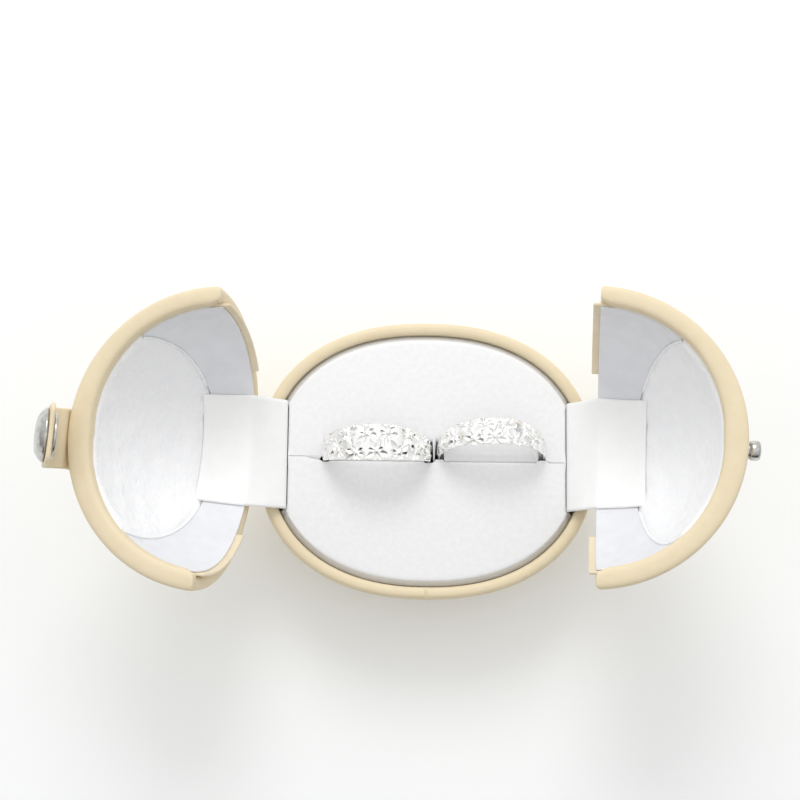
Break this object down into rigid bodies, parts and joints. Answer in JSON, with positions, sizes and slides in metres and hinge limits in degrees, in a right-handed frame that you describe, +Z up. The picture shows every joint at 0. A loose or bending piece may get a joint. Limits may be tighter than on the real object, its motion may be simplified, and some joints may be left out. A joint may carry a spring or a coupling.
{
  "type": "ring box",
  "caption": "Egg-shaped ring box with two quarter-dome lids that swing outwards, a strap with a snap, and a slotted cushion that holds rings.",
  "frame": {"origin": "centre of the flat foot, on the surface the box stands on", "axes": "+X from the left hinge to the right hinge, +Y to the back, +Z up"},
  "size_m": [0.1229, 0.0536, 0.0587],
  "materials": {
    "leatherette": "cream grained leatherette, satin",
    "moulded_shell": "moulded board-plastic, matte",
    "foot_felt": "short felt, matte",
    "tray_board": "white lined board, matte",
    "velvet": "white short-pile velvet over foam",
    "satin": "white satin with a soft sheen",
    "ribbon_cloth": "white satin ribbon",
    "nickel": "polished nickel plate",
    "silver": "bright silver, diamond cut"
  },
  "bodies": {
    "base": {"foot_pad": "foot_felt", "base_cover": "leatherette", "base_shell": "moulded_shell", "cushion_tray": "tray_board", "cushion_front": "velvet", "cushion_back": "velvet", "hinge_ribbon_left": "ribbon_cloth", "hinge_ribbon_right": "ribbon_cloth", "hinge_tape_left": "leatherette", "hinge_tape_right": "leatherette"},
    "lid_left": {"lid_cover_left": "leatherette", "lid_shell_left": "moulded_shell", "lid_lip_front_left": "leatherette", "lid_lip_back_left": "leatherette", "meeting_rim_left": "leatherette", "side_lining_left": "satin", "dome_pad_left": "satin", "snap_strap_anchor": "leatherette"},
    "lid_right": {"lid_cover_right": "leatherette", "lid_shell_right": "moulded_shell", "lid_lip_front_right": "leatherette", "lid_lip_back_right": "leatherette", "meeting_rim_right": "leatherette", "side_lining_right": "satin", "dome_pad_right": "satin", "snap_stud": "nickel", "snap_stud_post": "nickel"},
    "strap": {"snap_strap": "leatherette", "snap_cap": "nickel", "snap_socket": "nickel"},
    "band_left": {"ring_left": "silver"},
    "band_right": {"ring_right": "silver"}
  },
  "joints": [
    {"name": "lid_left_hinge", "type": "hinge", "parent": "base", "child": "lid_left", "pos_m": [-0.0315, 0, 0.0218], "axis": [0.0384, 0.999, 0.0244], "range_deg": [0, 101.7], "deforming": ["hinge_ribbon_left", "hinge_tape_left"]},
    {"name": "lid_right_hinge", "type": "hinge", "parent": "base", "child": "lid_right", "pos_m": [0.0315, 0, 0.0218], "axis": [-0.0175, 0.9989, -0.0436], "range_deg": [-83.3, 0], "deforming": ["hinge_ribbon_right", "hinge_tape_right"]},
    {"name": "strap_flex", "type": "hinge", "parent": "lid_left", "child": "strap", "pos_m": [-0.06297, 0.00032, 0.04724], "axis": [-0.07, -0.9975, 0.0082], "range_deg": [0, 60], "stiffness_Nm_per_rad": 0.002},
    {"name": "ring_left_lift", "type": "slide", "parent": "base", "child": "band_left", "axis": [0, 0.0819, 0.9966], "range_m": [0, 0.006]},
    {"name": "ring_right_lift", "type": "slide", "parent": "base", "child": "band_right", "axis": [0, 0.284, 0.9588], "range_m": [0, 0.006]}
  ]
}
